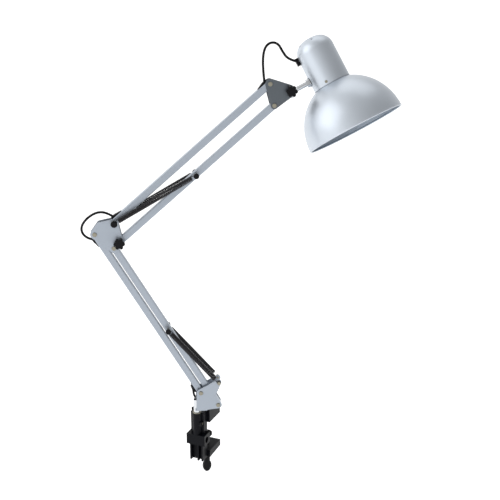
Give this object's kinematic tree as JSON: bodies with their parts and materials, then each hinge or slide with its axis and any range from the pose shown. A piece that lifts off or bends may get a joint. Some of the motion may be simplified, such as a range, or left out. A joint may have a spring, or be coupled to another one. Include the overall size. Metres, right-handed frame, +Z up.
{
  "type": "desk lamp",
  "caption": "Spring balanced swing arm desk lamp with a screw clamp, parallel link arms and a tilting, swivelling dome shade.",
  "frame": {"origin": "centre of the underside of the clamp's upper jaw, where it rests on the desk top", "axes": "+Z up, +Y from the clamp's spine along its jaws, +X to the right; at rest the arms stand in an upright plane turned 30 degrees from +X towards +Y"},
  "size_m": [0.505, 0.2985, 0.8377],
  "materials": {
    "clamp_plastic": "satin moulded charcoal plastic",
    "black_plastic": "semi-gloss moulded black plastic",
    "zinc_steel": "yellowish zinc plated rivets and screws",
    "bright_steel": "bright nickel plated",
    "satin_bar": "satin silver paint, light blue grey",
    "plate_paint": "satin grey silver paint",
    "spring_steel": "dark oiled spring wire",
    "shade_silver": "silver metallic paint on spun aluminium",
    "holder_brass": "nickelled brass",
    "cord_black": "black flexible cord sheath",
    "holder_black": "moulded black lamp holder body"
  },
  "bodies": {
    "clamp": {"clamp_body": "clamp_plastic", "clamp_nut": "zinc_steel", "set_screw": "zinc_steel", "cord_lead": "cord_black", "cord_tail": "cord_black", "cord_hank": "cord_black", "hank_tie": "black_plastic", "plug": "black_plastic"},
    "pad": {"pressure_pad": "black_plastic"},
    "screw": {"clamp_screw": "zinc_steel", "wing_handle": "black_plastic"},
    "base": {"spindle": "bright_steel", "spindle_washer": "zinc_steel", "base_bracket": "satin_bar", "base_rivets": "zinc_steel", "base_bushes": "black_plastic", "base_spring_studs": "zinc_steel", "lower_spring_near": "spring_steel", "lower_spring_far": "spring_steel"},
    "lower_left": {"lower_arm_left_tube": "satin_bar", "lower_arm_grommets": "black_plastic", "cord_in_lower_arm": "cord_black"},
    "lower_right": {"lower_arm_right_tube": "satin_bar", "lower_spring_pin": "zinc_steel", "lower_spring_pin_caps": "black_plastic"},
    "elbow": {"elbow_near_plate": "satin_bar", "elbow_far_plate": "satin_bar", "elbow_rivets": "zinc_steel", "elbow_spring_pin": "zinc_steel", "elbow_spring_pin_caps": "black_plastic", "elbow_bolt": "zinc_steel", "elbow_knob_washer": "bright_steel", "cord_elbow_loop": "cord_black", "upper_spring_near": "spring_steel", "upper_spring_far": "spring_steel"},
    "elbow_knob": {"elbow_knob": "black_plastic"},
    "upper_top": {"upper_arm_top_tube": "satin_bar", "upper_arm_grommets": "black_plastic", "cord_in_upper_arm": "cord_black", "cord_head_loop": "cord_black"},
    "upper_low": {"upper_arm_low_tube": "satin_bar", "upper_spring_pin": "zinc_steel", "upper_spring_pin_caps": "black_plastic"},
    "head_bracket": {"head_near_plate": "plate_paint", "head_far_plate": "plate_paint", "head_rivets": "zinc_steel", "head_bolt": "zinc_steel", "head_washers": "bright_steel"},
    "head_knob": {"head_knob": "black_plastic"},
    "stem": {"stem": "bright_steel", "stem_fittings": "bright_steel"},
    "shade": {"neck_shell": "shade_silver", "bell_reflector": "shade_silver", "neck_screws": "zinc_steel", "neck_grommet": "black_plastic", "lamp_holder": "holder_black", "lamp_holder_shell": "holder_brass", "lamp_holder_contact": "holder_brass", "holder_strap": "zinc_steel", "cord_in_head": "cord_black"}
  },
  "joints": [
    {"name": "pad_travel", "type": "slide", "parent": "clamp", "child": "pad", "axis": [0, 0, 1], "range_m": [-0.016, 0.011]},
    {"name": "screw_turn", "type": "hinge", "parent": "pad", "child": "screw", "pos_m": [0, 0, -0.09], "axis": [0, 0, 1], "range_deg": [-4610, 3170]},
    {"name": "base_swivel", "type": "hinge", "parent": "clamp", "child": "base", "pos_m": [0, -0.039, 0.03], "axis": [0, 0, 1], "range_deg": [-175, 175], "deforming": ["cord_lead"]},
    {"name": "lower_arm", "type": "hinge", "parent": "base", "child": "lower_left", "pos_m": [0.00649, -0.03525, 0.069], "axis": [0.5, -0.866, 0], "range_deg": [-60, 3], "deforming": ["cord_lead", "cord_elbow_loop", "lower_spring_near", "lower_spring_far"]},
    {"name": "lower_arm_right_link", "type": "hinge", "parent": "base", "child": "lower_right", "pos_m": [0.03421, -0.01925, 0.043], "axis": [0.5, -0.866, 0], "range_deg": [-60, 3], "deforming": ["lower_spring_near", "lower_spring_far"]},
    {"name": "elbow_level", "type": "hinge", "parent": "lower_left", "child": "elbow", "pos_m": [-0.14939, -0.12525, 0.38077], "axis": [0.5, -0.866, 0], "range_deg": [-3, 60], "deforming": ["cord_elbow_loop"]},
    {"name": "elbow_knob_turn", "type": "hinge", "parent": "elbow", "child": "elbow_knob", "pos_m": [-0.11319, -0.10435, 0.36477], "axis": [0.5, -0.866, 0], "range_deg": [-90, 360]},
    {"name": "upper_arm", "type": "hinge", "parent": "elbow", "child": "upper_top", "pos_m": [-0.11951, -0.108, 0.40127], "axis": [0.5, -0.866, 0], "range_deg": [-50, 35], "deforming": ["cord_elbow_loop", "cord_head_loop", "upper_spring_near", "upper_spring_far"]},
    {"name": "upper_arm_low_link", "type": "hinge", "parent": "elbow", "child": "upper_low", "pos_m": [-0.11319, -0.10435, 0.36477], "axis": [0.5, -0.866, 0], "range_deg": [-50, 35], "deforming": ["upper_spring_near", "upper_spring_far"]},
    {"name": "head_level", "type": "hinge", "parent": "upper_top", "child": "head_bracket", "pos_m": [0.11685, 0.02846, 0.63602], "axis": [0.5, -0.866, 0], "range_deg": [-35, 50], "deforming": ["cord_head_loop"]},
    {"name": "head_knob_turn", "type": "hinge", "parent": "head_bracket", "child": "head_knob", "pos_m": [0.14803, 0.04646, 0.62403], "axis": [0.5, -0.866, 0], "range_deg": [-90, 360]},
    {"name": "head_tilt", "type": "hinge", "parent": "head_bracket", "child": "stem", "pos_m": [0.14803, 0.04646, 0.62403], "axis": [0.5, -0.866, 0], "range_deg": [-40, 50], "deforming": ["cord_head_loop"]},
    {"name": "shade_swivel", "type": "hinge", "parent": "stem", "child": "shade", "pos_m": [0.20266, 0.07801, 0.65215], "axis": [0.7744, 0.4471, 0.4478], "range_deg": [-110, 70], "deforming": ["cord_head_loop"]}
  ],
  "couplings": [
    {"joint": "screw_turn", "follows": "pad_travel", "rad_per_m": 5026.5},
    {"joint": "lower_arm_right_link", "follows": "lower_arm", "ratio": 1},
    {"joint": "elbow_level", "follows": "lower_arm", "ratio": -1},
    {"joint": "upper_arm_low_link", "follows": "upper_arm", "ratio": 1},
    {"joint": "head_level", "follows": "upper_arm", "ratio": -1}
  ]
}
